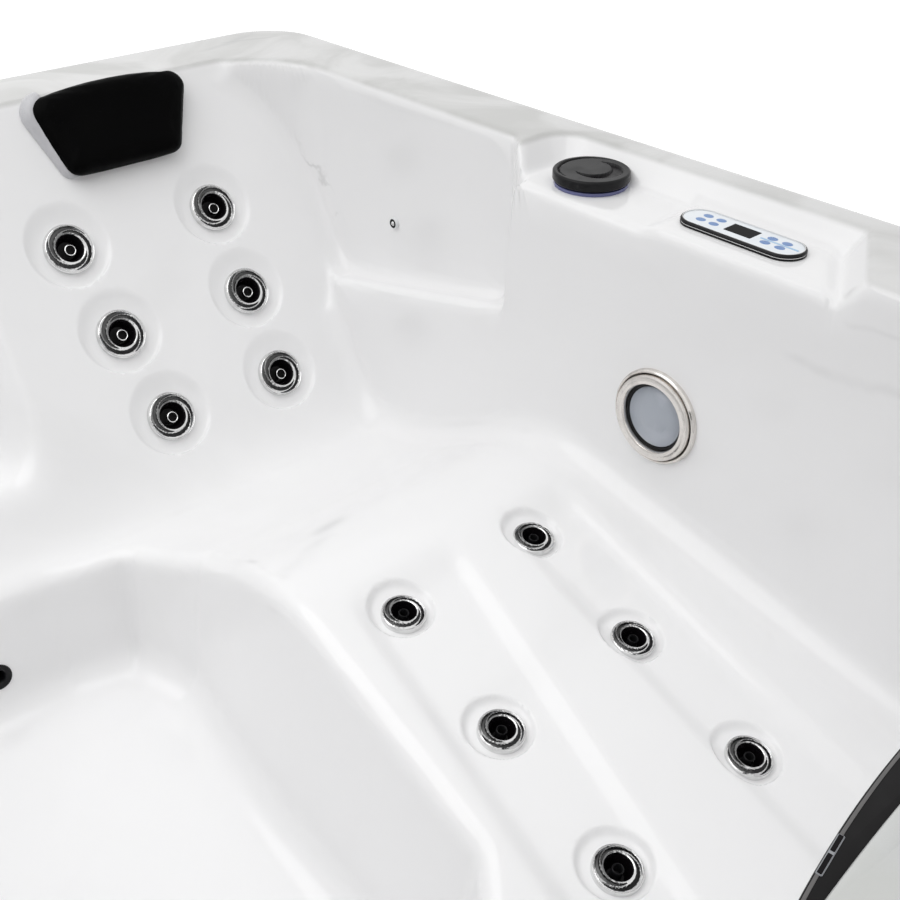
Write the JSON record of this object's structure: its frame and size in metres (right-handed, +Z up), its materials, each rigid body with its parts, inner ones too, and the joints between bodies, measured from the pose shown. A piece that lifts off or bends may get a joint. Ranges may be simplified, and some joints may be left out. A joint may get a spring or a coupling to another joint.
{
  "type": "hot tub",
  "caption": "Acrylic hot tub with a reclining lounger, turning jets, diverter, control panel, underwater light, pillow, skimmer with lifting filter lid, cabinet, pump and pipes.",
  "frame": {"origin": "on the floor under the centre of the tub", "axes": "+Z up, +Y to the head end behind the lounger's backrest, +X to the side that carries the controls"},
  "size_m": [1.5, 1.9, 0.8083],
  "materials": {
    "acrylic": "gloss white acrylic with faint grey veining",
    "steel": "polished stainless",
    "grey_plastic": "satin grey",
    "black_plastic": "satin black",
    "overlay": "printed film",
    "lens": "frosted and ribbed",
    "white_plastic": "gloss white",
    "cushion": "satin black skin over foam",
    "paper": "pleated filter paper",
    "cabinet": "moulded dark grey",
    "timber": "treated softwood",
    "motor": "dark paint"
  },
  "bodies": {
    "tub": {"shell": "acrylic", "back_jet_1_body": "grey_plastic", "back_jet_2_body": "grey_plastic", "back_jet_3_body": "grey_plastic", "back_jet_4_body": "grey_plastic", "back_jet_5_body": "grey_plastic", "back_jet_6_body": "grey_plastic", "leg_jet_1_body": "grey_plastic", "leg_jet_2_body": "grey_plastic", "leg_jet_3_body": "grey_plastic", "leg_jet_4_body": "grey_plastic", "leg_jet_5_body": "grey_plastic", "leg_jet_6_body": "grey_plastic", "diverter_valve": "grey_plastic", "control_panel": "black_plastic", "panel_overlay": "overlay", "light_housing": "grey_plastic", "light_lens": "lens", "light_bezel": "steel", "temperature_sensor": "steel", "return_fitting": "black_plastic", "suction_fitting": "grey_plastic", "suction_cover": "white_plastic", "skimmer_face": "black_plastic", "skimmer_bucket": "grey_plastic", "filter_cartridge": "paper", "base_pan": "black_plastic", "panel_control_side": "cabinet", "panel_left_side": "cabinet", "panel_head_end": "cabinet", "panel_foot_end": "cabinet", "frame": "timber", "pump_wet_end": "black_plastic", "pump_motor": "motor", "heater": "steel", "control_box": "grey_plastic", "pressure_pipe": "white_plastic", "suction_pipe": "white_plastic", "back_manifold": "white_plastic", "leg_manifold": "white_plastic", "drain_sleeve": "white_plastic"},
    "back_jet_1_face": {"back_jet_1_face": "steel"},
    "back_jet_2_face": {"back_jet_2_face": "steel"},
    "back_jet_3_face": {"back_jet_3_face": "steel"},
    "back_jet_4_face": {"back_jet_4_face": "steel"},
    "back_jet_5_face": {"back_jet_5_face": "steel"},
    "back_jet_6_face": {"back_jet_6_face": "steel"},
    "leg_jet_1_face": {"leg_jet_1_face": "steel"},
    "leg_jet_2_face": {"leg_jet_2_face": "steel"},
    "leg_jet_3_face": {"leg_jet_3_face": "steel"},
    "leg_jet_4_face": {"leg_jet_4_face": "steel"},
    "leg_jet_5_face": {"leg_jet_5_face": "steel"},
    "leg_jet_6_face": {"leg_jet_6_face": "steel"},
    "diverter_knob": {"diverter_knob": "black_plastic"},
    "filter_lid": {"filter_lid": "white_plastic"},
    "skimmer_weir": {"skimmer_weir": "grey_plastic"},
    "drain_plug": {"drain_plug": "grey_plastic"},
    "pillow": {"pillow": "cushion", "pillow_backing": "grey_plastic"}
  },
  "joints": [
    {"name": "back_jet_1_turn", "type": "hinge", "parent": "tub", "child": "back_jet_1_face", "pos_m": [0.204, 0.70246, 0.619], "axis": [0, -0.8387, 0.5446], "range_deg": [0, 90]},
    {"name": "back_jet_2_turn", "type": "hinge", "parent": "tub", "child": "back_jet_2_face", "pos_m": [0.226, 0.6281, 0.5045], "axis": [0, -0.8387, 0.5446], "range_deg": [0, 90]},
    {"name": "back_jet_3_turn", "type": "hinge", "parent": "tub", "child": "back_jet_3_face", "pos_m": [0.248, 0.55374, 0.39], "axis": [0, -0.8387, 0.5446], "range_deg": [0, 90]},
    {"name": "back_jet_4_turn", "type": "hinge", "parent": "tub", "child": "back_jet_4_face", "pos_m": [0.441, 0.70246, 0.619], "axis": [0, -0.8387, 0.5446], "range_deg": [0, 90]},
    {"name": "back_jet_5_turn", "type": "hinge", "parent": "tub", "child": "back_jet_5_face", "pos_m": [0.441, 0.6281, 0.5045], "axis": [0, -0.8387, 0.5446], "range_deg": [0, 90]},
    {"name": "back_jet_6_turn", "type": "hinge", "parent": "tub", "child": "back_jet_6_face", "pos_m": [0.441, 0.55374, 0.39], "axis": [0, -0.8387, 0.5446], "range_deg": [0, 90]},
    {"name": "leg_jet_1_turn", "type": "hinge", "parent": "tub", "child": "leg_jet_1_face", "pos_m": [0.213, -0.02497, 0.41384], "axis": [0, -0.1822, 0.9833], "range_deg": [0, 90]},
    {"name": "leg_jet_2_turn", "type": "hinge", "parent": "tub", "child": "leg_jet_2_face", "pos_m": [0.197, -0.20298, 0.38085], "axis": [0, -0.1822, 0.9833], "range_deg": [0, 90]},
    {"name": "leg_jet_3_turn", "type": "hinge", "parent": "tub", "child": "leg_jet_3_face", "pos_m": [0.181, -0.38099, 0.34785], "axis": [0, -0.1822, 0.9833], "range_deg": [0, 90]},
    {"name": "leg_jet_4_turn", "type": "hinge", "parent": "tub", "child": "leg_jet_4_face", "pos_m": [0.42, -0.02497, 0.41384], "axis": [0, -0.1822, 0.9833], "range_deg": [0, 90]},
    {"name": "leg_jet_5_turn", "type": "hinge", "parent": "tub", "child": "leg_jet_5_face", "pos_m": [0.404, -0.20298, 0.38085], "axis": [0, -0.1822, 0.9833], "range_deg": [0, 90]},
    {"name": "leg_jet_6_turn", "type": "hinge", "parent": "tub", "child": "leg_jet_6_face", "pos_m": [0.388, -0.38099, 0.34785], "axis": [0, -0.1822, 0.9833], "range_deg": [0, 90]},
    {"name": "diverter_turn", "type": "hinge", "parent": "tub", "child": "diverter_knob", "pos_m": [0.65, 0.125, 0.766], "axis": [0, 0, 1], "range_deg": [-80, 80]},
    {"name": "lid_hinge", "type": "hinge", "parent": "tub", "child": "filter_lid", "pos_m": [0.15, -0.825, 0.791], "axis": [1, 0, 0], "range_deg": [0, 100]},
    {"name": "weir_hinge", "type": "hinge", "parent": "tub", "child": "skimmer_weir", "pos_m": [0.15, -0.6417, 0.7477], "axis": [-1, 0, 0], "range_deg": [0, 60]},
    {"name": "drain_pull", "type": "slide", "parent": "tub", "child": "drain_plug", "axis": [0, -1, 0], "range_m": [0, 0.025]},
    {"name": "pillow_pull", "type": "slide", "parent": "tub", "child": "pillow", "axis": [0, -0.8387, 0.5446], "range_m": [0, 0.06]}
  ]
}
